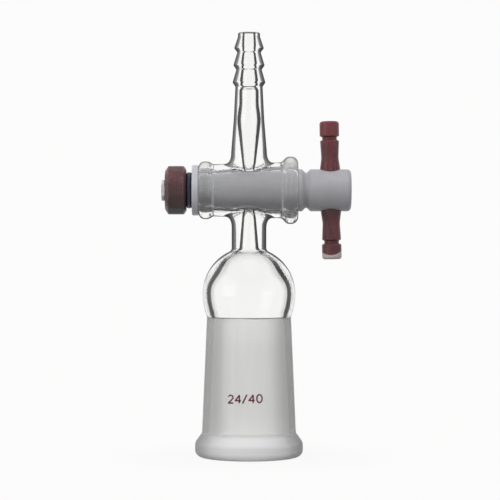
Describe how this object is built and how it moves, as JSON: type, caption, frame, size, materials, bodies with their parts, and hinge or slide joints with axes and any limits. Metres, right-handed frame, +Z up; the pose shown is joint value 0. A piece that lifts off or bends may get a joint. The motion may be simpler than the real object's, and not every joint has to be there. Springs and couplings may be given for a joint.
{
  "type": "glass stopcock adapter",
  "caption": "Glass adapter with a stopcock: a ground socket and a bulb below, a tapered plug with a cross handle and a clamping nut, and a barbed hose end on top.",
  "frame": {"origin": "centre of the ground socket's mouth, in the plane of its rim", "axes": "+Z up the flow axis to the hose end, +X along the plug from its nut to its head and handle"},
  "size_m": [0.0541, 0.0308, 0.1211],
  "materials": {
    "glass": "clear drawn glass, frosted inside the ground taper",
    "ptfe": "satin PTFE, turned",
    "ptfe_washer": "satin PTFE, pale",
    "red_plastic": "dark red moulded plastic with a soft gloss",
    "rubber": "smooth black rubber"
  },
  "bodies": {
    "glass": {"glass_body": "glass"},
    "plug": {"plug": "ptfe", "handle": "red_plastic", "washer": "ptfe_washer"},
    "ring": {"o_ring": "rubber"},
    "nut": {"nut": "red_plastic"}
  },
  "joints": [
    {"name": "plug_turn", "type": "hinge", "parent": "glass", "child": "plug", "pos_m": [0, 0, 0.07606], "axis": [1, 0, 0], "continuous": true},
    {"name": "nut_travel", "type": "slide", "parent": "plug", "child": "ring", "axis": [-1, 0, 0], "range_m": [0, 0.007]},
    {"name": "nut_turn", "type": "hinge", "parent": "ring", "child": "nut", "pos_m": [0, 0, 0.07606], "axis": [-1, 0, 0], "range_deg": [0, 2556]}
  ],
  "couplings": [
    {"joint": "nut_turn", "follows": "nut_travel", "rad_per_m": 6283.2}
  ]
}
